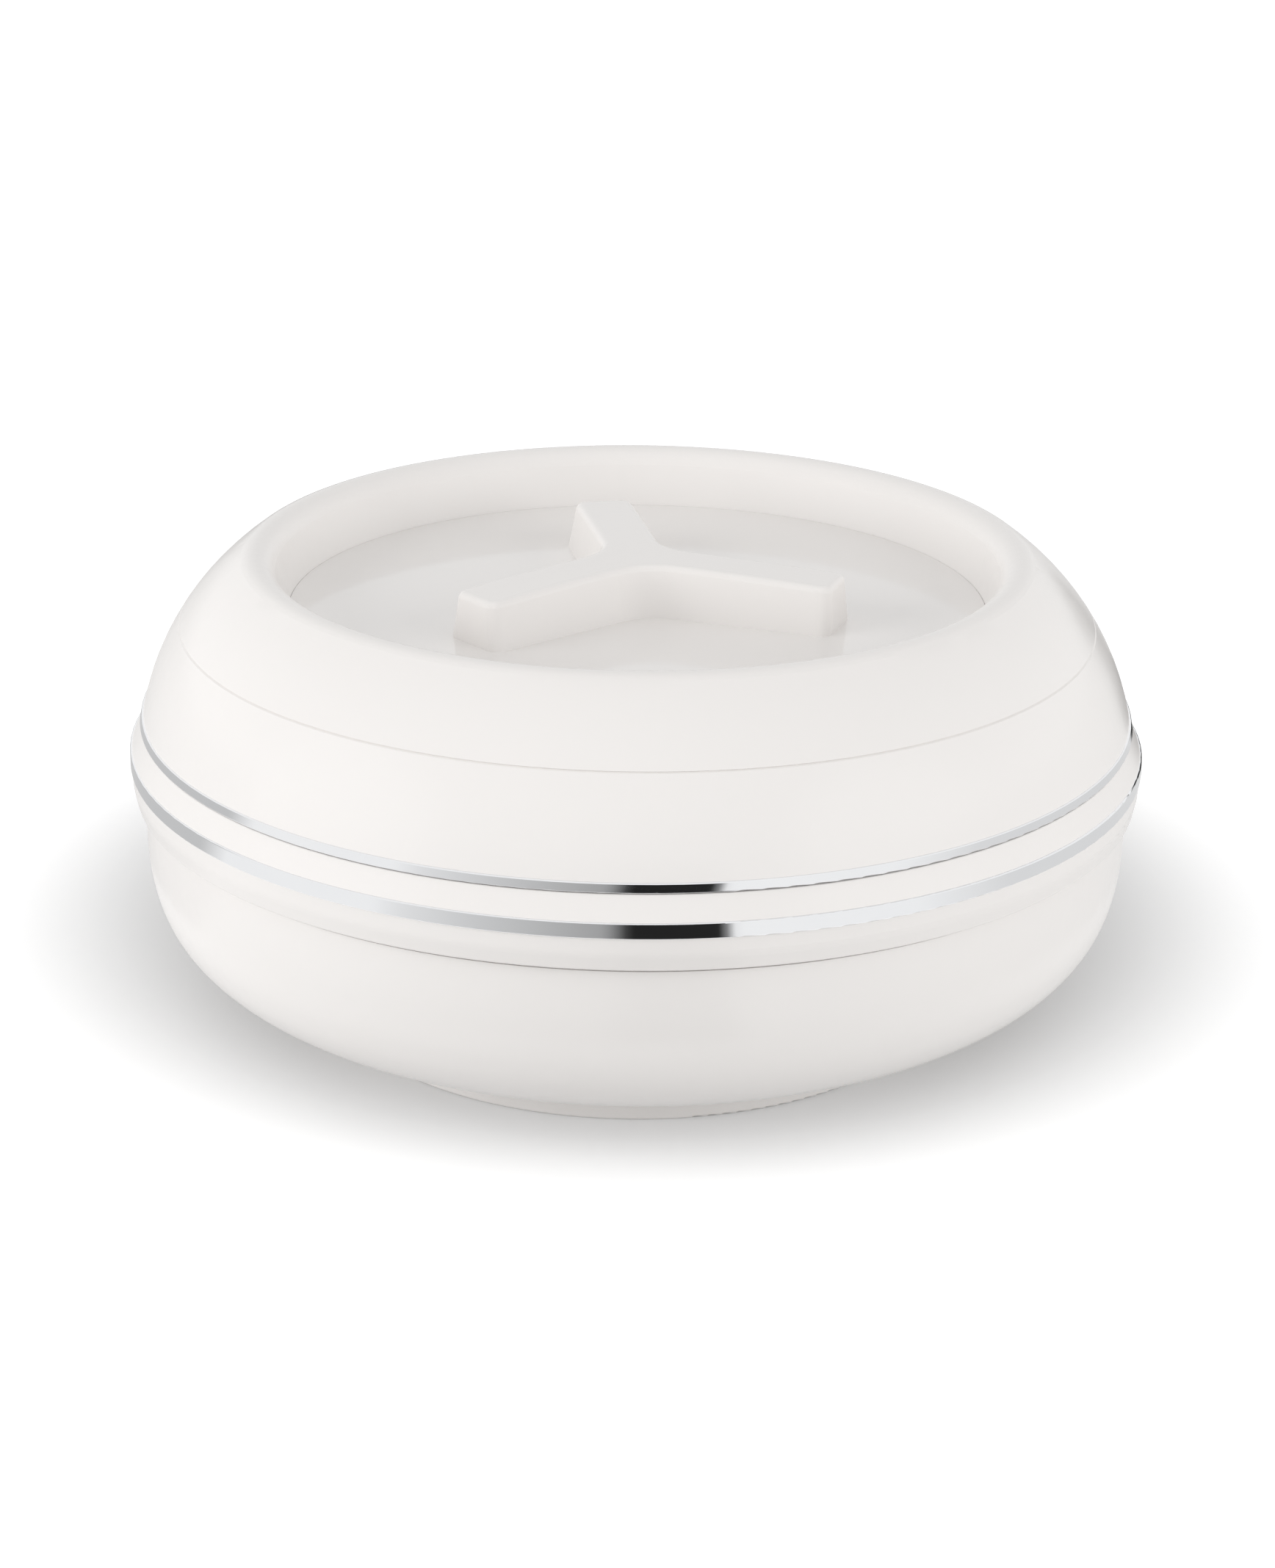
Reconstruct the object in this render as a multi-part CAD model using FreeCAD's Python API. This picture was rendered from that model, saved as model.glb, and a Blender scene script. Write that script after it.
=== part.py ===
import FreeCAD, Part
import math
import os

# Insulated serving casserole with a lift-off lid. Millimetres, +Z up.
# The origin is the centre of the foot, on the table.

# Driving sizes: the outside of the base
band_radius = 129.8
foot_radius = 79.8
foot_height = 8.0
foot_width = 3.8
foot_web_width = 16.0
foot_web_thickness = 2.5
foot_edge_round = 0.8
bowl_inset = 3.1
bowl_flat_part = 0.3
bowl_height = 52.2
bowl_roundness = 3.5
moulding_wall = 2.5
groove_height = 1.0
strip_height = 8.4
strip_tuck = 0.9
lower_chrome_height = 4.0
chrome_proud = 0.5
band_height = 5.9
band_lean = 2.7
chrome_thickness = 1.3
chrome_edge_round = 0.35

# Driving sizes: the dome, one arc of a circle, and the dish in its top
dome_radius = 65.7
dome_centre_drop = 11.2
upper_chrome_height = 2.4
crease_height = 25.5
crease_bevel = 0.4
spigot_thickness = 1.8
spigot_overlap = 0.3
spigot_depth = 4.0
dish_rim_width = 40.6
dish_floor_height = 28.4
dish_draft = 16.0
lip_round = 5.6
dish_plate_thickness = 2.5
dish_ledge_width = 5.6

# Driving sizes: the handle
handle_angle = 90.0
handle_arms = 3
finger_room = 35.2
handle_width = 19.0
handle_draft = 10.0
handle_end_draft = 3.0
handle_flare = 13.0
handle_corner = 3.0
handle_height = 13.2
handle_end_drop = 1.2
handle_edge_round = 1.8
screw_inset = 19.0
screw_radius = 2.0
screw_head_radius = 3.8
screw_head_height = 2.6
screw_grip = 9.0
washer_radius = 6.0
washer_thickness = 1.0

# Driving sizes: the inside
rim_width = 19.8
steel_thickness = 0.6
steel_floor_height = 18.0
steel_floor_round = 30.0
steel_taper = 4.5
flange_width = 10.0
flange_recess = 1.5
ledge_thickness = 2.6
neck_clearance = 0.3
shoulder_drop = 4.0
seal_thickness = 0.5
closing_ring_thickness = 3.0
spigot_gap = 1.1
spigot_wall = 2.8
lid_spigot_drop = 6.5
gasket_inset = 1.0
gasket_width = 4.0
gasket_depth = 1.2
liner_rise = 6.5
liner_slope_width = 12.0
liner_flange = 5.0
plug_radius = 6.0
plug_head_radius = 9.0
plug_head_height = 1.2
plug_length = 5.0

# Driving sizes: what holds the foot
foot_screws = 4
foot_screw_radius = 1.6
foot_screw_head_radius = 3.0
foot_screw_head_height = 2.0
foot_boss_radius = 4.0
foot_boss_height = 5.5

# Clearances
rest_gap = 0.3
press_gap = 0.1
thread_gap = 0.05
foam_gap = 0.3

# Heights above the table, stacked from the sizes above
bowl_bottom_z = foot_height
groove_z = bowl_bottom_z + bowl_height
strip_z = groove_z + groove_height
lower_chrome_z = strip_z + strip_height
band_z = lower_chrome_z + lower_chrome_height
rim_top_z = band_z + band_height
lid_z = rim_top_z + rest_gap
upper_chrome_top_z = lid_z + upper_chrome_height
crease_z = lid_z + crease_height
dish_z = lid_z + dish_floor_height
plate_bottom_z = dish_z - dish_plate_thickness
flange_top_z = rim_top_z - flange_recess
flange_bottom_z = flange_top_z - steel_thickness
ledge_z = flange_bottom_z - seal_thickness
neck_top_z = ledge_z - ledge_thickness
closing_top_z = lid_z + closing_ring_thickness
liner_z = closing_top_z + liner_rise

# Radii worked out from the sizes above
bowl_radius = band_radius - bowl_inset
bowl_flat_radius = foot_radius * bowl_flat_part
foot_bore = foot_radius - foot_width
foot_screw_circle = foot_bore - foot_web_width / 2
mouth_radius = band_radius - rim_width
lower_chrome_radius = band_radius + chrome_proud
rim_top_radius = band_radius - band_lean
neck_radius = bowl_radius - moulding_wall - neck_clearance - press_gap
rim_bore = neck_radius + neck_clearance
dome_centre_r = rim_top_radius - math.sqrt(dome_radius**2 - dome_centre_drop**2)
dome_centre_z = lid_z - dome_centre_drop
upper_chrome_surface = dome_radius + chrome_proud
skirt_inner = dome_radius - moulding_wall
spigot_outer = skirt_inner - press_gap
spigot_inner = spigot_outer - spigot_thickness
dish_slope = math.tan(math.radians(dish_draft))
dish_floor_radius = band_radius - dish_rim_width
handle_length = dish_floor_radius - finger_room
screw_circle = handle_length - screw_inset
flange_radius = mouth_radius + flange_width
spigot_radius = mouth_radius - steel_thickness - spigot_gap
spigot_bore = spigot_radius - spigot_wall
gasket_inner = mouth_radius + gasket_inset
gasket_outer = gasket_inner + gasket_width

UP = FreeCAD.Vector(0, 0, 1)
ORIGIN = FreeCAD.Vector(0, 0, 0)


def point(r, z):
    return FreeCAD.Vector(r, 0, z)


def line(a, b):
    return Part.LineSegment(point(*a), point(*b)).toShape()


def spin(edges):
    return Part.Face(Part.Wire(edges)).revolve(ORIGIN, UP, 360)


# A closed outline of straight sides, where each corner is (place, rounding radius)
def rounded(corners):
    edges = []
    ends = []
    count = len(corners)
    for index, (here, rounding) in enumerate(corners):
        before = corners[index - 1][0] - here
        after = corners[(index + 1) % count][0] - here
        if not rounding:
            ends.append((here, here))
            continue
        before.normalize()
        after.normalize()
        half = before.getAngle(after) / 2
        middle = before + after
        middle.normalize()
        start = here + before * (rounding / math.tan(half))
        stop = here + after * (rounding / math.tan(half))
        crest = here + middle * (rounding / math.sin(half) - rounding)
        edges.append(Part.Arc(start, crest, stop).toShape())
        ends.append((start, stop))
    for index in range(count):
        start = ends[index][1]
        stop = ends[(index + 1) % count][0]
        edges.append(Part.LineSegment(start, stop).toShape())
    return Part.__sortEdges__(edges)


# A turned solid from corners given as radius, height and an optional rounding
def turned(*corners):
    return spin(rounded([(point(*corner[:2]), sum(corner[2:])) for corner in corners]))


def disc(radius, z, height, x=0, y=0):
    return Part.makeCylinder(radius, height, FreeCAD.Vector(x, y, z), UP)


def around(count, circle, start_angle):
    places = []
    for index in range(count):
        angle = math.radians(start_angle + index * 360 / count)
        places.append((circle * math.cos(angle), circle * math.sin(angle)))
    return places


# Radius of a surface that runs parallel to the dome, at a given height
def dome_r(radius, z):
    return dome_centre_r + math.sqrt(radius**2 - (z - dome_centre_z)**2)


def dome_arc(radius, low, high):
    middle = (low + high) / 2
    heights = (low, middle, high)
    places = [point(dome_r(radius, z), z) for z in heights]
    return Part.Arc(*places).toShape()


def dish_wall_r(z, behind=0.0):
    return dish_floor_radius + (z - dish_z) * dish_slope + behind


# Height at which a surface parallel to the dome meets one parallel to the dish wall
def lip_height(radius, behind=0.0):
    reach = dish_wall_r(dome_centre_z, behind) - dome_centre_r
    a = 1 + dish_slope**2
    b = reach * dish_slope
    c = reach**2 - radius**2
    return dome_centre_z + (-b + math.sqrt(b**2 - a * c)) / a


# A ring between two surfaces parallel to the dome
def dome_ring(outer, inner, low, high):
    return spin([
        dome_arc(outer, low, high),
        line((dome_r(outer, high), high), (dome_r(inner, high), high)),
        dome_arc(inner, low, high),
        line((dome_r(inner, low), low), (dome_r(outer, low), low)),
    ])


# The bowl's side: a soft quarter curve, squarer than an ellipse
def bowl_curve(centre_z, reach, drop):
    steps = 8
    places = []
    for index in range(steps + 1):
        turn = math.pi / 2 * index / steps
        r = bowl_flat_radius + reach * max(math.cos(turn), 0)**(2 / bowl_roundness)
        z = centre_z - drop * math.sin(turn)**(2 / bowl_roundness)
        places.append(point(r, z))
    curve = Part.BSplineCurve()
    curve.interpolate(
        Points=places, InitialTangent=-UP, FinalTangent=FreeCAD.Vector(-1, 0, 0))
    return curve.toShape()


def steel_form(grow):
    return turned(
        (0, steel_floor_height - grow),
        (mouth_radius - steel_taper + grow, steel_floor_height - grow,
         steel_floor_round + grow),
        (mouth_radius + grow, rim_top_z),
        (0, rim_top_z))


# The space between the outer bowl's walls, less a gap
def base_cavity(gap, top):
    centre_z = groove_z - shoulder_drop
    floor_z = bowl_bottom_z + moulding_wall + gap
    reach = bowl_radius - bowl_flat_radius - moulding_wall - gap
    side = (bowl_flat_radius + reach, centre_z)
    neck_bore = neck_radius - moulding_wall - gap
    return spin([
        bowl_curve(centre_z, reach, centre_z - floor_z),
        line((bowl_flat_radius, floor_z), (0, floor_z)),
        line((0, floor_z), (0, top)),
        line((0, top), (neck_bore, top)),
        line((neck_bore, top), (neck_bore, groove_z)),
        line((neck_bore, groove_z), side),
    ])


foot_places = around(foot_screws, foot_screw_circle, 45)


def bowl_form():
    reach = bowl_radius - bowl_flat_radius
    return spin([
        bowl_curve(groove_z, reach, bowl_height),
        line((bowl_flat_radius, bowl_bottom_z), (0, bowl_bottom_z)),
        line((0, bowl_bottom_z), (0, neck_top_z)),
        line((0, neck_top_z), (neck_radius, neck_top_z)),
        line((neck_radius, neck_top_z), (neck_radius, groove_z)),
        line((neck_radius, groove_z), (bowl_radius, groove_z)),
    ])


def make_outer_bowl():
    shell = bowl_form().cut(base_cavity(0, neck_top_z))
    boss_z = bowl_bottom_z + moulding_wall / 2
    boss_top = bowl_bottom_z + moulding_wall + foot_boss_height
    for x, y in foot_places:
        shell = shell.fuse(disc(foot_boss_radius, boss_z, boss_top - boss_z, x, y))
        hole = foot_screw_radius + thread_gap
        depth = boss_top - 1 - bowl_bottom_z
        shell = shell.cut(disc(hole, bowl_bottom_z, depth, x, y))
    return shell.cut(disc(plug_radius + press_gap, bowl_bottom_z, moulding_wall))


def make_base_plug():
    return disc(plug_radius, bowl_bottom_z, moulding_wall + plug_length)


def make_foot_ring():
    web_bore = foot_bore - foot_web_width
    web_z = foot_height - foot_web_thickness
    top_z = foot_height + 2 * foot_web_thickness
    ring = turned(
        (web_bore, top_z),
        (web_bore, web_z),
        (foot_bore, web_z),
        (foot_bore, 0, foot_edge_round),
        (foot_radius, 0, foot_edge_round),
        (foot_radius, top_z))
    ring = ring.cut(bowl_form().translated(UP * -press_gap))
    for x, y in foot_places:
        hole = foot_screw_radius + press_gap
        ring = ring.cut(disc(hole, web_z, top_z - web_z, x, y))
    return ring


def make_foot_screws():
    head_z = foot_height - foot_web_thickness - foot_screw_head_height
    screws = []
    for x, y in foot_places:
        head = disc(foot_screw_head_radius, head_z, foot_screw_head_height, x, y)
        length = foot_web_thickness + moulding_wall + foot_boss_height - 2
        shank = disc(foot_screw_radius, head_z + foot_screw_head_height, length, x, y)
        slot_width = foot_screw_radius / 2
        slot = Part.makeBox(2 * foot_screw_head_radius, slot_width, slot_width)
        slot.translate(FreeCAD.Vector(
            x - foot_screw_head_radius, y - slot_width / 2, head_z))
        screws.append(head.fuse(shank).removeSplitter().cut(slot))
    return Part.makeCompound(screws)


def make_rim_ring():
    seat = lower_chrome_radius - chrome_thickness - press_gap
    ledge_radius = flange_radius + rest_gap
    ledge_bore = mouth_radius + 2 * rest_gap
    strip_radius = band_radius - strip_tuck
    return turned(
        (rim_bore, strip_z),
        (strip_radius, strip_z, foot_edge_round),
        (band_radius, strip_z + strip_height / 2, strip_height),
        (band_radius, lower_chrome_z),
        (seat, lower_chrome_z),
        (seat, band_z),
        (band_radius, band_z),
        (rim_top_radius, rim_top_z, chrome_edge_round),
        (ledge_radius, rim_top_z, chrome_edge_round),
        (ledge_radius, ledge_z),
        (ledge_bore, ledge_z),
        (ledge_bore, neck_top_z),
        (rim_bore, neck_top_z))


def make_lower_chrome():
    bore = lower_chrome_radius - chrome_thickness
    return turned(
        (bore, lower_chrome_z),
        (lower_chrome_radius, lower_chrome_z, chrome_edge_round),
        (lower_chrome_radius, band_z, chrome_edge_round),
        (bore, band_z))


def make_steel_bowl():
    inner = steel_form(-steel_thickness)
    wall = steel_form(0).cut(inner)
    above = disc(bowl_radius, flange_top_z, foot_height)
    flange = turned(
        (mouth_radius - steel_thickness, flange_bottom_z),
        (flange_radius, flange_bottom_z),
        (flange_radius, flange_top_z, steel_thickness / 2),
        (mouth_radius - steel_thickness, flange_top_z))
    return wall.cut(above).fuse(flange.cut(inner)).removeSplitter()


def make_bowl_seal():
    inner = mouth_radius + 3 * rest_gap
    outer = flange_radius - rest_gap
    return turned(
        (inner, ledge_z), (outer, ledge_z),
        (outer, flange_bottom_z), (inner, flange_bottom_z))


def make_base_foam():
    foam = base_cavity(foam_gap, neck_top_z - foam_gap)
    foam = foam.cut(steel_form(foam_gap))
    boss_top = bowl_bottom_z + moulding_wall + foot_boss_height + foam_gap
    for x, y in foot_places:
        foam = foam.cut(disc(foot_boss_radius + foam_gap, 0, boss_top, x, y))
    stem_top = bowl_bottom_z + moulding_wall + plug_length + foam_gap
    return foam.cut(disc(plug_radius + foam_gap, 0, stem_top))


def make_lid_skirt():
    ring = dome_ring(dome_radius, skirt_inner, lid_z, crease_z)
    seat = upper_chrome_seat() - press_gap
    outside = dome_r(upper_chrome_surface, lid_z) + chrome_thickness
    room = disc(outside, lid_z, upper_chrome_height)
    room = room.cut(disc(seat, lid_z, upper_chrome_height))
    return ring.cut(room).cut(crease_notch())


# The fine V that shows as a line where the lid's two mouldings meet
def crease_notch():
    bottom = dome_r(dome_radius, crease_z) - crease_bevel
    mouth = bottom + 3 * crease_bevel
    return turned(
        (bottom, crease_z),
        (mouth, crease_z - 1.5 * crease_bevel),
        (mouth, crease_z + 1.5 * crease_bevel))


def upper_chrome_seat():
    return dome_r(upper_chrome_surface, upper_chrome_top_z) - chrome_thickness


def make_upper_chrome():
    seat = upper_chrome_seat()
    surface = upper_chrome_surface
    return turned(
        (seat, lid_z),
        (dome_r(surface, lid_z), lid_z, chrome_edge_round),
        (dome_r(surface, upper_chrome_top_z), upper_chrome_top_z, chrome_edge_round),
        (seat, upper_chrome_top_z))


def make_lid_crown():
    behind = moulding_wall / math.cos(math.radians(dish_draft))
    inner = spigot_outer - spigot_overlap
    lip_z = lip_height(dome_radius)
    hollow_z = lip_height(inner, behind)
    ledge_bore = dish_floor_radius - dish_ledge_width
    ledge_bottom = plate_bottom_z - moulding_wall
    floor_edge = (dish_floor_radius, dish_z)
    ledge_foot = (dish_wall_r(ledge_bottom, behind), ledge_bottom)
    crown = spin([
        dome_arc(dome_radius, crease_z, lip_z),
        line((dish_wall_r(lip_z), lip_z), floor_edge),
        line(floor_edge, (dish_floor_radius, plate_bottom_z)),
        line((dish_floor_radius, plate_bottom_z), (ledge_bore, plate_bottom_z)),
        line((ledge_bore, plate_bottom_z), (ledge_bore, ledge_bottom)),
        line((ledge_bore, ledge_bottom), ledge_foot),
        line(ledge_foot, (dish_wall_r(hollow_z, behind), hollow_z)),
        dome_arc(inner, crease_z, hollow_z),
        line((dome_r(inner, crease_z), crease_z), (dome_r(dome_radius, crease_z), crease_z)),
    ])
    lip = [edge for edge in crown.Edges if abs(edge.BoundBox.ZMin - lip_z) < 0.01
           and abs(edge.BoundBox.ZMax - lip_z) < 0.01]
    crown = crown.makeFillet(lip_round, lip)
    spigot = dome_ring(
        spigot_outer, spigot_inner, crease_z - spigot_depth, crease_z + spigot_thickness)
    return crown.fuse(spigot).removeSplitter().cut(crease_notch())


screw_places = around(handle_arms, screw_circle, handle_angle)


def make_dish_floor():
    radius = dish_floor_radius - press_gap
    plate = disc(radius, plate_bottom_z, dish_plate_thickness)
    for x, y in screw_places:
        hole = screw_radius + press_gap
        plate = plate.cut(disc(hole, plate_bottom_z, dish_plate_thickness, x, y))
    return plate


# The handle's plan at a height: straight arms joined by hollow curves, less the draft
def handle_plan(z):
    rise = z - dish_z
    lean = rise * math.tan(math.radians(handle_draft))
    half = handle_width / 2 - lean
    length = handle_length - rise * math.tan(math.radians(handle_end_draft))
    spread = math.pi / handle_arms
    waist = half / math.sin(spread)
    middle = UP * z
    corners = []
    for index in range(handle_arms):
        turn = math.radians(handle_angle) + 2 * spread * index
        along = FreeCAD.Vector(math.cos(turn), math.sin(turn), 0)
        across = UP.cross(along)
        between = along * math.cos(spread) + across * math.sin(spread)
        end = middle + along * length
        corners.append((end - across * half, handle_corner))
        corners.append((end + across * half, handle_corner))
        corners.append((middle + between * waist, handle_flare + lean))
    return Part.Wire(rounded(corners))


def make_handle():
    blank_z = dish_z + 1.5 * handle_height
    blank = Part.makeLoft([handle_plan(dish_z), handle_plan(blank_z)], True, True)
    crown = (handle_length**2 + handle_end_drop**2) / (2 * handle_end_drop)
    centre = FreeCAD.Vector(0, 0, dish_z + handle_height - crown)
    body = blank.common(Part.makeSphere(crown, centre))
    top_z = dish_z + handle_height - handle_end_drop
    top = [edge for edge in body.Edges if edge.BoundBox.ZMin > top_z - 1]
    body = body.makeFillet(handle_edge_round, top)
    for x, y in screw_places:
        body = body.cut(disc(screw_radius + thread_gap, dish_z, screw_grip + 1, x, y))
    return body


def make_washers():
    rings = []
    z = plate_bottom_z - washer_thickness
    for x, y in screw_places:
        ring = disc(washer_radius, z, washer_thickness, x, y)
        rings.append(ring.cut(disc(screw_radius + press_gap, z, washer_thickness, x, y)))
    return Part.makeCompound(rings)


def make_handle_screws():
    screws = []
    seat_z = plate_bottom_z - washer_thickness
    for x, y in screw_places:
        head = disc(screw_head_radius, seat_z - screw_head_height, screw_head_height, x, y)
        head = head.makeFillet(screw_radius / 2, [
            edge for edge in head.Edges
            if edge.BoundBox.ZMax < seat_z - screw_head_height + 0.01])
        length = washer_thickness + dish_plate_thickness + screw_grip
        shank = disc(screw_radius, seat_z, length, x, y)
        screws.append(head.fuse(shank).removeSplitter())
    return Part.makeCompound(screws)


def make_closing_ring():
    outer = dome_r(skirt_inner, closing_top_z) - press_gap
    groove_top = lid_z + gasket_depth
    return turned(
        (spigot_bore, closing_top_z),
        (spigot_bore, lid_z - lid_spigot_drop, chrome_edge_round),
        (spigot_radius, lid_z - lid_spigot_drop, chrome_edge_round),
        (spigot_radius, lid_z),
        (gasket_inner, lid_z),
        (gasket_inner, groove_top),
        (gasket_outer, groove_top),
        (gasket_outer, lid_z),
        (outer, lid_z),
        (outer, closing_top_z))


def make_gasket():
    bottom = flange_top_z + rest_gap
    top = lid_z + gasket_depth
    inner = gasket_inner + press_gap
    outer = gasket_outer - press_gap
    return turned(
        (inner, bottom, steel_thickness),
        (outer, bottom, steel_thickness),
        (outer, top),
        (inner, top))


liner_edge = spigot_bore + liner_flange
liner_flat = spigot_bore - liner_slope_width


def make_lid_liner():
    thick = steel_thickness
    turn = 2 * thick
    liner = turned(
        (0, liner_z),
        (liner_flat, liner_z, turn),
        (spigot_bore, closing_top_z, turn),
        (liner_edge, closing_top_z),
        (liner_edge, closing_top_z + thick),
        (spigot_bore + thick / 3, closing_top_z + thick, turn),
        (liner_flat + thick / 3, liner_z + thick, turn),
        (0, liner_z + thick))
    return liner.cut(disc(plug_radius + press_gap, liner_z, steel_thickness))


def make_lid_plug():
    head = disc(plug_head_radius, liner_z - plug_head_height, plug_head_height)
    head = head.makeFillet(plug_head_height / 2, [
        edge for edge in head.Edges if edge.BoundBox.ZMax < liner_z - 0.01])
    return head.fuse(disc(plug_radius, liner_z, plug_length)).removeSplitter()


def make_lid_foam():
    outer = spigot_inner - foam_gap
    behind = moulding_wall / math.cos(math.radians(dish_draft)) + foam_gap
    low = closing_top_z + steel_thickness + foam_gap
    high = lip_height(outer, behind)
    roof = plate_bottom_z - foam_gap
    ledge_under = plate_bottom_z - moulding_wall - foam_gap
    ledge_side = dish_floor_radius - dish_ledge_width - foam_gap
    wall_foot = (dish_wall_r(ledge_under, behind), ledge_under)
    over_liner = liner_z + steel_thickness + foam_gap
    foam = spin([
        dome_arc(outer, low, high),
        line((dish_wall_r(high, behind), high), wall_foot),
        line(wall_foot, (ledge_side, ledge_under)),
        line((ledge_side, ledge_under), (ledge_side, roof)),
        line((ledge_side, roof), (0, roof)),
        line((0, roof), (0, over_liner)),
        line((0, over_liner), (liner_flat + 1, over_liner)),
        line((liner_flat + 1, over_liner), (spigot_bore + 1, low)),
        line((spigot_bore + 1, low), (dome_r(outer, low), low)),
    ])
    pocket_z = plate_bottom_z - washer_thickness - screw_head_height - foam_gap
    for x, y in screw_places:
        foam = foam.cut(disc(washer_radius + foam_gap, pocket_z, dish_z - pocket_z, x, y))
    stem = plug_radius + foam_gap
    return foam.cut(disc(stem, liner_z, plug_length + foam_gap))


pieces = {
    "outer_bowl": make_outer_bowl,
    "rim_ring": make_rim_ring,
    "lower_chrome_band": make_lower_chrome,
    "inner_steel_bowl": make_steel_bowl,
    "bowl_rim_seal": make_bowl_seal,
    "base_foam": make_base_foam,
    "base_fill_plug": make_base_plug,
    "foot_ring": make_foot_ring,
    "foot_screws": make_foot_screws,
    "lid_skirt": make_lid_skirt,
    "upper_chrome_band": make_upper_chrome,
    "lid_crown": make_lid_crown,
    "dish_floor": make_dish_floor,
    "lid_handle": make_handle,
    "handle_washers": make_washers,
    "handle_screws": make_handle_screws,
    "lid_closing_ring": make_closing_ring,
    "lid_gasket": make_gasket,
    "lid_inner_liner": make_lid_liner,
    "lid_fill_plug": make_lid_plug,
    "lid_foam": make_lid_foam,
}

os.makedirs("parts", exist_ok=True)
for name, make in pieces.items():
    shape = make()
    box = shape.BoundBox
    print(name, "solids", len(shape.Solids), "valid", shape.isValid(),
          "volume", round(shape.Volume), "z", round(box.ZMin, 2), round(box.ZMax, 2),
          "radius", round(box.XMax, 2))
    shape.exportStep("parts/" + name + ".step")
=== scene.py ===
import math

import bpy
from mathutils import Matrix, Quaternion, Vector

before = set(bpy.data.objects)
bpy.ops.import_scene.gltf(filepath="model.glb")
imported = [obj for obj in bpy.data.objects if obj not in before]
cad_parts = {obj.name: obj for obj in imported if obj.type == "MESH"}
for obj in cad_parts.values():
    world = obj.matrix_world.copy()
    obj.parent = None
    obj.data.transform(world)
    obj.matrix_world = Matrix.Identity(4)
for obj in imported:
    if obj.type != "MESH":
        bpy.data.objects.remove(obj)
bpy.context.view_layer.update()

# The photograph's frame, and the camera fitted to it (metres, degrees, photo pixels)
photo_long_side = 2135
focal_pixels = 5087.0
camera_distance = 0.997
camera_height_angle = 23.74
camera_azimuth = -10.5
camera_pitch = 20.585
camera_yaw = 0.03
camera_roll = 0.62
camera_reach = 30
sensor_width = 36.0

# Levels of the studio light, where 1 is white
world_level = 0.62
floor_colour = 0.66
# The floor's glow level inside its painted shade near the object
painted_shade_glow = 0.10
open_glow = 0.62

# Half the floor's side, and where the floor's painted shade (a lower glow near the object) begins
# and ends: metres from a point that lies the last of these distances behind the object's axis
floor_reach = 6.0
painted_shade_start = 0.11
painted_shade_end = 0.20
painted_shade_back = 0.06

# Two round lamps, each turned from the camera's direction about the object (degrees, watts, metres)
key_turn = -68
key_watts = 25
fill_turn = 58
fill_watts = 19
lamp_height_angle = 13
lamp_distance = 2.0
lamp_size = 1.7

# A low ring of panels that only reflections see: angle from the camera, brightness
ring_inner = 0.17
ring_outer = 0.45
ring_lift = 0.002
ring_height = 0.12
ring_steps = 120
ring_panels = (
    (-180, 0.10), (-160, 0.10), (-150, 0.62), (-88, 0.62), (-80, 1.0), (-46, 1.0),
    (-40, 0.85), (-5, 0.40), (-1, 0.02), (15, 0.02), (17, 1.0), (50, 1.0),
    (70, 0.80), (134, 0.75), (137, 0.02), (147, 0.02), (149, 0.70), (165, 0.60),
    (170, 0.10), (180, 0.10))

# Colours, as linear red, green and blue
shell_white = (0.875, 0.85, 0.83)
gloss_white = (0.89, 0.865, 0.845)
inner_white = (0.82, 0.82, 0.80)
steel_grey = (0.60, 0.595, 0.585)
chrome_shades = ((0.80, 0.81, 0.83), (0.86, 0.865, 0.87))
screw_shades = ((0.44, 0.45, 0.46), (0.60, 0.60, 0.58))
silicone_shades = ((0.70, 0.70, 0.68), (0.78, 0.78, 0.76))
foam_shades = ((0.74, 0.66, 0.44), (0.84, 0.78, 0.58))

# Refractive indices
plastic_ior = 1.49
silicone_ior = 1.41

scene = bpy.context.scene
scene.view_settings.view_transform = "Standard"


def turned_about_z(vector, degrees):
    return Quaternion((0, 0, 1), math.radians(degrees)) @ vector


def sight_line(azimuth, elevation):
    flat = math.cos(math.radians(elevation))
    ahead = Vector((0, flat, math.sin(math.radians(elevation))))
    return turned_about_z(ahead, azimuth)


# The level direction from the object toward the photograph's camera
front = -sight_line(camera_azimuth, 0)


def add_to_scene(name, data):
    thing = bpy.data.objects.new(name, data)
    scene.collection.objects.link(thing)
    return thing


def make_camera():
    data = bpy.data.cameras.new("camera")
    data.sensor_width = sensor_width
    data.lens = sensor_width * focal_pixels / photo_long_side
    data.clip_end = camera_reach
    camera = add_to_scene("camera", data)
    away = sight_line(camera_azimuth, -camera_height_angle)
    camera.location = -camera_distance * away
    ahead = sight_line(camera_azimuth - camera_yaw, -camera_pitch)
    roll = Quaternion((0, 0, 1), math.radians(camera_roll))
    camera.rotation_mode = "QUATERNION"
    camera.rotation_quaternion = ahead.to_track_quat("-Z", "Y") @ roll
    scene.camera = camera


# Node helpers
def new_material(name):
    material = bpy.data.materials.new(name)
    material.use_nodes = True
    return material, material.node_tree


def new_surface(name, metallic=0.0):
    material, tree = new_material(name)
    inputs = tree.nodes["Principled BSDF"].inputs
    inputs["Metallic"].default_value = metallic
    return material, tree, inputs


def link_inputs(tree, inputs, sources):
    for socket, source in sources.items():
        tree.links.new(source, inputs[socket])


def object_place(tree):
    return tree.nodes.new("ShaderNodeTexCoord").outputs["Object"]


def value_range(tree, source, low, high):
    ramp = tree.nodes.new("ShaderNodeMapRange")
    ramp.inputs["To Min"].default_value = low
    ramp.inputs["To Max"].default_value = high
    tree.links.new(source, ramp.inputs["Value"])
    return ramp.outputs["Result"]


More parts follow.
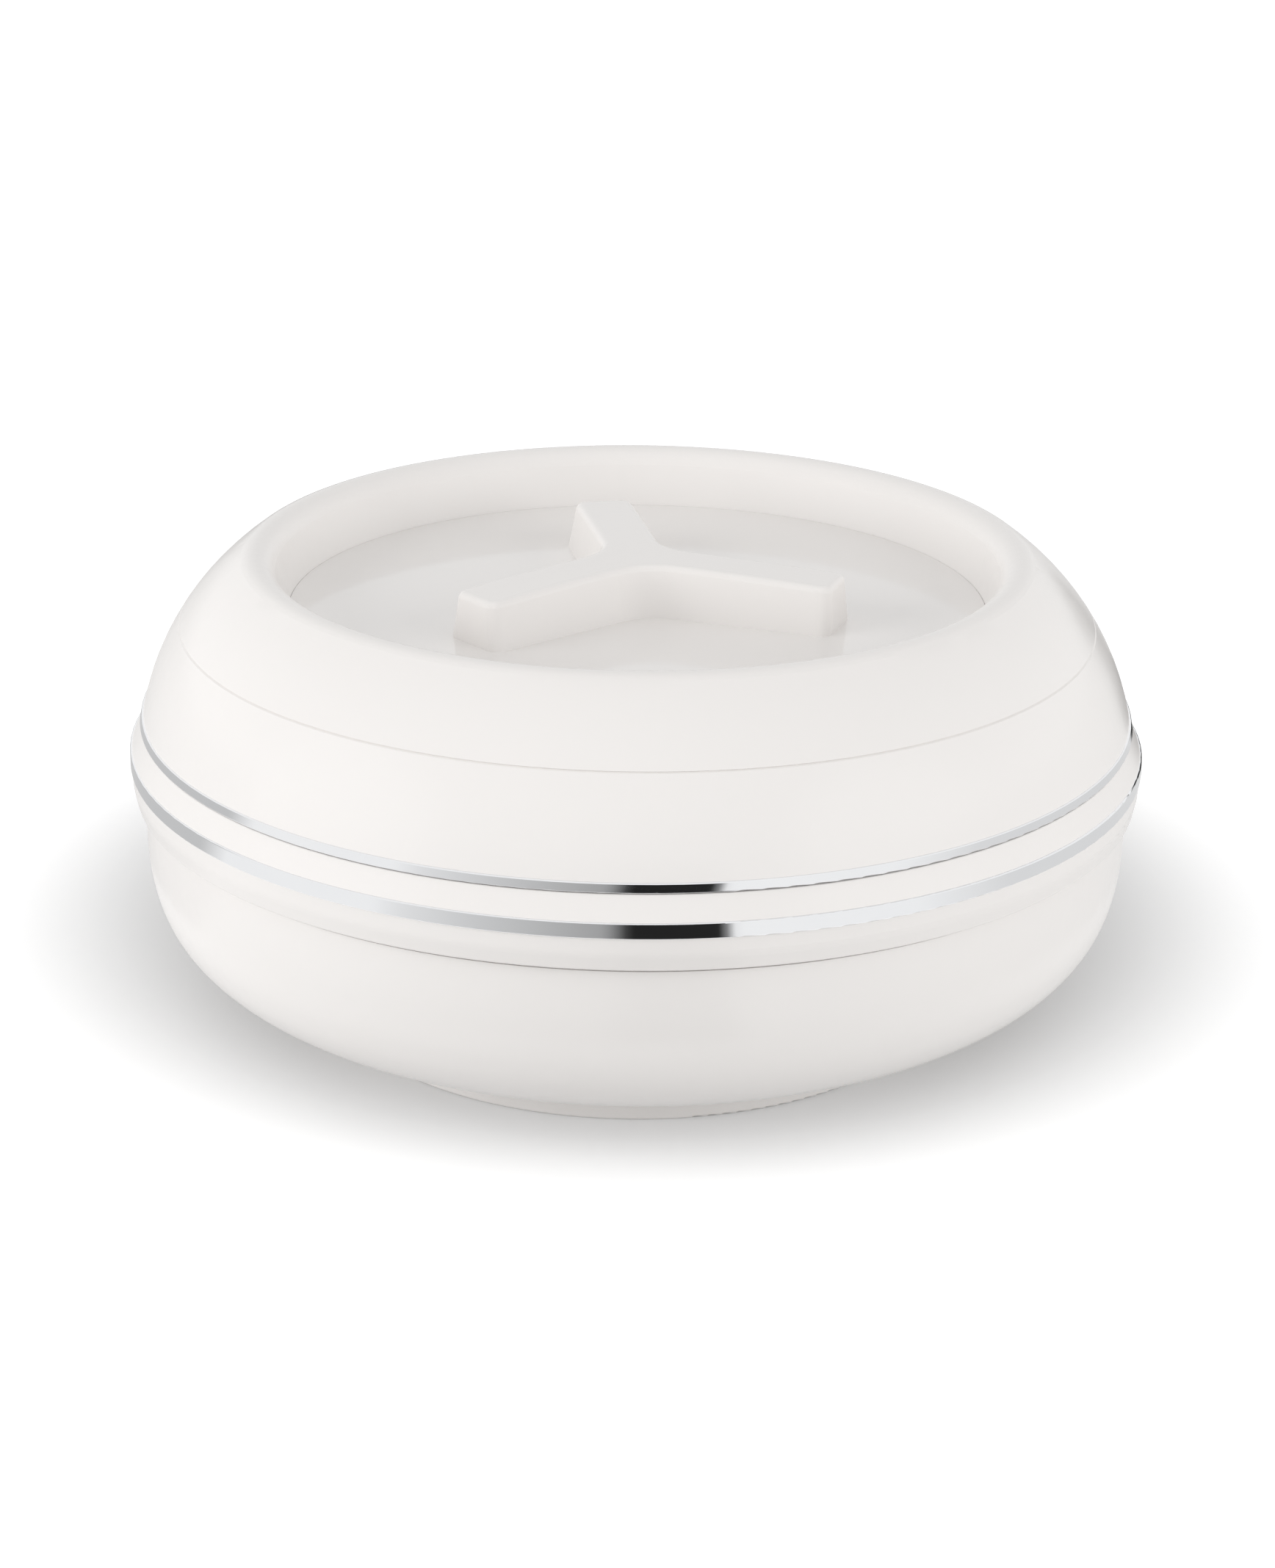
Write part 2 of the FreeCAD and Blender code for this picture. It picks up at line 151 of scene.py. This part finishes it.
def soft_step(tree, source, start, end):
    step = tree.nodes.new("ShaderNodeMapRange")
    step.interpolation_type = "SMOOTHSTEP"
    step.inputs["From Min"].default_value = start
    step.inputs["From Max"].default_value = end
    tree.links.new(source, step.inputs["Value"])
    return step.outputs["Result"]


def noise(tree, place, scale, detail):
    texture = tree.nodes.new("ShaderNodeTexNoise")
    texture.inputs["Scale"].default_value = scale
    texture.inputs["Detail"].default_value = detail
    tree.links.new(place, texture.inputs["Vector"])
    return texture.outputs["Fac"]


def bump(tree, height, strength, distance, under=None):
    node = tree.nodes.new("ShaderNodeBump")
    node.inputs["Strength"].default_value = strength
    node.inputs["Distance"].default_value = distance
    tree.links.new(height, node.inputs["Height"])
    if under is not None:
        tree.links.new(under, node.inputs["Normal"])
    return node.outputs["Normal"]


def two_colours(tree, factor, first, second):
    mix = tree.nodes.new("ShaderNodeMix")
    mix.data_type = "RGBA"
    mix.inputs["A"].default_value = (*first, 1)
    mix.inputs["B"].default_value = (*second, 1)
    tree.links.new(factor, mix.inputs["Factor"])
    return mix.outputs["Result"]


def maths(tree, operation, *sources):
    node = tree.nodes.new("ShaderNodeMath")
    node.operation = operation
    for index, source in enumerate(sources):
        if isinstance(source, (int, float)):
            node.inputs[index].default_value = source
        else:
            tree.links.new(source, node.inputs[index])
    return node.outputs["Value"]


# The number that a vector operation gives, such as a distance or a dot product
def vector_maths(tree, operation, source, constant):
    node = tree.nodes.new("ShaderNodeVectorMath")
    node.operation = operation
    tree.links.new(source, node.inputs[0])
    node.inputs[1].default_value = constant
    return node.outputs["Value"]


# 1 for what the camera or a reflection sees, and 0 for what only brings light
def seen_directly(tree):
    path = tree.nodes.new("ShaderNodeLightPath").outputs
    return maths(tree, "MAXIMUM", path["Is Camera Ray"], path["Is Glossy Ray"])


# Radius, angle and height about the object's upright axis, as a texture place for turned metal
def turned_coordinates(tree, along, across):
    split = tree.nodes.new("ShaderNodeSeparateXYZ")
    tree.links.new(object_place(tree), split.inputs["Vector"])
    squares = [maths(tree, "POWER", split.outputs[axis], 2) for axis in ("X", "Y")]
    radius = maths(tree, "SQRT", maths(tree, "ADD", *squares))
    angle = maths(tree, "ARCTAN2", split.outputs["Y"], split.outputs["X"])
    join = tree.nodes.new("ShaderNodeCombineXYZ")
    link_inputs(tree, join.inputs, {
        "X": maths(tree, "MULTIPLY", radius, across),
        "Y": maths(tree, "MULTIPLY", angle, along),
        "Z": maths(tree, "MULTIPLY", split.outputs["Z"], across)})
    return join.outputs["Vector"]


# Moulded white plastic: soft gloss, a trace of orange peel and faint handling haze
def moulded_plastic(name, colour, roughness, peel=1.0, grain=0.0, coat=0.0):
    material, tree, inputs = new_surface(name)
    inputs["IOR"].default_value = plastic_ior
    inputs["Coat Weight"].default_value = coat
    inputs["Coat Roughness"].default_value = 0.06
    place = object_place(tree)
    broad = noise(tree, place, scale=9.0, detail=2.0)
    haze = noise(tree, place, scale=60.0, detail=4.0)
    ripple = noise(tree, place, scale=260.0, detail=2.0)
    darker = tuple(channel * 0.985 for channel in colour)
    surface = bump(tree, ripple, strength=0.10 * peel, distance=0.0002)
    if grain:
        fine = noise(tree, place, scale=2600.0, detail=2.0)
        surface = bump(tree, fine, strength=grain, distance=0.0001, under=surface)
    link_inputs(tree, inputs, {
        "Base Color": two_colours(tree, broad, darker, colour),
        "Roughness": value_range(tree, haze, low=roughness * 0.85, high=roughness * 1.2),
        "Normal": surface})
    return material


# Bright plating over plastic, with the slight waviness of a moulded ring
def plated_chrome(name):
    material, tree, inputs = new_surface(name, metallic=1.0)
    place = object_place(tree)
    cloud = noise(tree, place, scale=40.0, detail=3.0)
    wave = noise(tree, place, scale=55.0, detail=1.0)
    link_inputs(tree, inputs, {
        "Base Color": two_colours(tree, cloud, *chrome_shades),
        "Roughness": value_range(tree, cloud, low=0.035, high=0.08),
        "Normal": bump(tree, wave, strength=0.06, distance=0.0006)})
    return material


# Spun stainless steel: fine rings about the axis and a soft satin
def spun_steel(name):
    material, tree, inputs = new_surface(name, metallic=1.0)
    inputs["Anisotropic"].default_value = 0.5
    place = turned_coordinates(tree, along=0.02, across=40.0)
    rings = noise(tree, place, scale=30.0, detail=4.0)
    brighter = tuple(channel * 1.16 for channel in steel_grey)
    link_inputs(tree, inputs, {
        "Base Color": two_colours(tree, rings, steel_grey, brighter),
        "Roughness": value_range(tree, rings, low=0.20, high=0.36),
        "Normal": bump(tree, rings, strength=0.12, distance=0.0002)})
    return material


def screw_steel(name):
    material, tree, inputs = new_surface(name, metallic=1.0)
    cloud = noise(tree, object_place(tree), scale=500.0, detail=4.0)
    link_inputs(tree, inputs, {
        "Base Color": two_colours(tree, cloud, *screw_shades),
        "Roughness": value_range(tree, cloud, low=0.28, high=0.45),
        "Normal": bump(tree, cloud, strength=0.15, distance=0.0002)})
    return material


def soft_silicone(name):
    material, tree, inputs = new_surface(name)
    inputs["IOR"].default_value = silicone_ior
    inputs["Subsurface Weight"].default_value = 0.25
    inputs["Subsurface Scale"].default_value = 0.002
    place = object_place(tree)
    cloud = noise(tree, place, scale=90.0, detail=3.0)
    dust = noise(tree, place, scale=1500.0, detail=2.0)
    link_inputs(tree, inputs, {
        "Base Color": two_colours(tree, cloud, *silicone_shades),
        "Roughness": value_range(tree, cloud, low=0.42, high=0.58),
        "Normal": bump(tree, dust, strength=0.15, distance=0.0001)})
    return material


# Poured foam: small closed cells and a patchy yellow
def rigid_foam(name):
    material, tree, inputs = new_surface(name)
    inputs["Roughness"].default_value = 0.85
    place = object_place(tree)
    cells = tree.nodes.new("ShaderNodeTexVoronoi")
    cells.inputs["Scale"].default_value = 900.0
    tree.links.new(place, cells.inputs["Vector"])
    cloud = noise(tree, place, scale=30.0, detail=3.0)
    link_inputs(tree, inputs, {
        "Base Color": two_colours(tree, cloud, *foam_shades),
        "Normal": bump(tree, cells.outputs["Distance"], strength=0.6, distance=0.0004)})
    return material


def dress(material, *names):
    for name in names:
        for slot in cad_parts[name].material_slots:
            slot.material = material


def dress_object():
    dress(moulded_plastic("white_shell", shell_white, roughness=0.24),
          "outer_bowl", "rim_ring", "lid_skirt", "lid_crown", "lid_handle", "foot_ring")
    dress(moulded_plastic("white_gloss", gloss_white, roughness=0.07, peel=0.3, coat=0.3),
          "dish_floor")
    dress(moulded_plastic("white_inner", inner_white, roughness=0.42, grain=0.25),
          "lid_closing_ring", "base_fill_plug", "lid_fill_plug")
    dress(plated_chrome("chrome_trim"), "upper_chrome_band", "lower_chrome_band")
    dress(spun_steel("steel"), "inner_steel_bowl", "lid_inner_liner")
    dress(soft_silicone("silicone"), "bowl_rim_seal", "lid_gasket")
    dress(rigid_foam("foam"), "base_foam", "lid_foam")
    dress(screw_steel("screw_steel"), "foot_screws", "handle_screws", "handle_washers")


# The studio: a pale floor, an even white surround, two soft lamps and the ring of panels
def stage_object(name, corners, faces, material):
    mesh = bpy.data.meshes.new(name)
    mesh.from_pydata(corners, [], faces)
    mesh.materials.append(material)
    thing = add_to_scene(name, mesh)
    return thing


# A matt floor that catches the object's real shadow and also has painted shade: its white glow is
# set lower near the object and rises away from it
def floor_material():
    material, tree, inputs = new_surface("floor")
    inputs["Base Color"].default_value = (floor_colour, floor_colour, floor_colour, 1)
    inputs["Roughness"].default_value = 0.9
    inputs["Specular IOR Level"].default_value = 0.0
    painted_shade_middle = front * -painted_shade_back
    # Painted shade: the floor's glow is lowered within these distances of a point behind the object
    away = vector_maths(tree, "DISTANCE", object_place(tree), painted_shade_middle)
    outside_painted_shade = soft_step(tree, away, painted_shade_start, painted_shade_end)
    level = value_range(tree, outside_painted_shade, painted_shade_glow, open_glow)
    glow = tree.nodes.new("ShaderNodeEmission")
    tree.links.new(maths(tree, "MULTIPLY", seen_directly(tree), level), glow.inputs["Strength"])
    total = tree.nodes.new("ShaderNodeAddShader")
    tree.links.new(tree.nodes["Principled BSDF"].outputs["BSDF"], total.inputs[0])
    tree.links.new(glow.outputs["Emission"], total.inputs[1])
    tree.links.new(total.outputs["Shader"], tree.nodes["Material Output"].inputs["Surface"])
    return material


def make_floor():
    side = floor_reach
    corners = [(-side, -side, 0), (side, -side, 0), (side, side, 0), (-side, side, 0)]
    stage_object("floor", corners, [(0, 1, 2, 3)], floor_material())


# Brightness by the angle from the camera's side of the object
def ring_material():
    material, tree = new_material("panel_ring")
    place = object_place(tree)
    ahead = vector_maths(tree, "DOT_PRODUCT", place, front)
    aside = vector_maths(tree, "DOT_PRODUCT", place, turned_about_z(front, 90))
    angle = maths(tree, "ARCTAN2", aside, ahead)
    ramp = tree.nodes.new("ShaderNodeValToRGB")
    stops = ramp.color_ramp.elements
    for degrees, _ in ring_panels[1:-1]:
        stops.new(degrees / 360 + 0.5)
    for stop, (_, brightness) in zip(stops, ring_panels):
        stop.color = (brightness, brightness, brightness, 1)
    tree.links.new(maths(tree, "MULTIPLY_ADD", angle, 0.5 / math.pi, 0.5), ramp.inputs["Fac"])
    light = tree.nodes.new("ShaderNodeEmission")
    tree.links.new(ramp.outputs["Color"], light.inputs["Color"])
    tree.links.new(light.outputs["Emission"], tree.nodes["Material Output"].inputs["Surface"])
    return material


# The chrome bands mirror this ring: bright panels with dark gaps between them
def make_panel_ring():
    profile = [(ring_inner, ring_lift), (ring_outer, ring_lift), (ring_outer, ring_height)]
    corners = []
    faces = []
    for step in range(ring_steps):
        spoke = turned_about_z(Vector((1, 0, 0)), step * 360 / ring_steps)
        corners += [spoke * radius + Vector((0, 0, height)) for radius, height in profile]
        here = 3 * step
        after = 3 * ((step + 1) % ring_steps)
        faces.append((here, here + 1, after + 1, after))
        faces.append((here + 1, here + 2, after + 2, after + 1))
    ring = stage_object("panel_ring", corners, faces, ring_material())
    ring.visible_camera = False
    ring.visible_diffuse = False
    ring.visible_shadow = False


def make_world():
    world = bpy.data.worlds.new("studio")
    scene.world = world
    world.use_nodes = True
    tree = world.node_tree
    sky = tree.nodes["Background"].inputs
    sky["Color"].default_value = (1, 1, 1, 1)
    level = value_range(tree, seen_directly(tree), world_level, 1.0)
    tree.links.new(level, sky["Strength"])


def make_lamp(name, turn, watts):
    data = bpy.data.lights.new(name, "AREA")
    data.shape = "DISK"
    data.size = lamp_size
    data.energy = watts
    lamp = add_to_scene(name, data)
    toward = -sight_line(camera_azimuth + turn, -lamp_height_angle)
    lamp.location = toward * lamp_distance
    lamp.rotation_mode = "QUATERNION"
    lamp.rotation_quaternion = toward.to_track_quat("Z", "Y")
    lamp.visible_glossy = False


make_camera()
make_world()
make_floor()
make_panel_ring()
dress_object()
make_lamp("key_left", key_turn, key_watts)
make_lamp("fill_right", fill_turn, fill_watts)
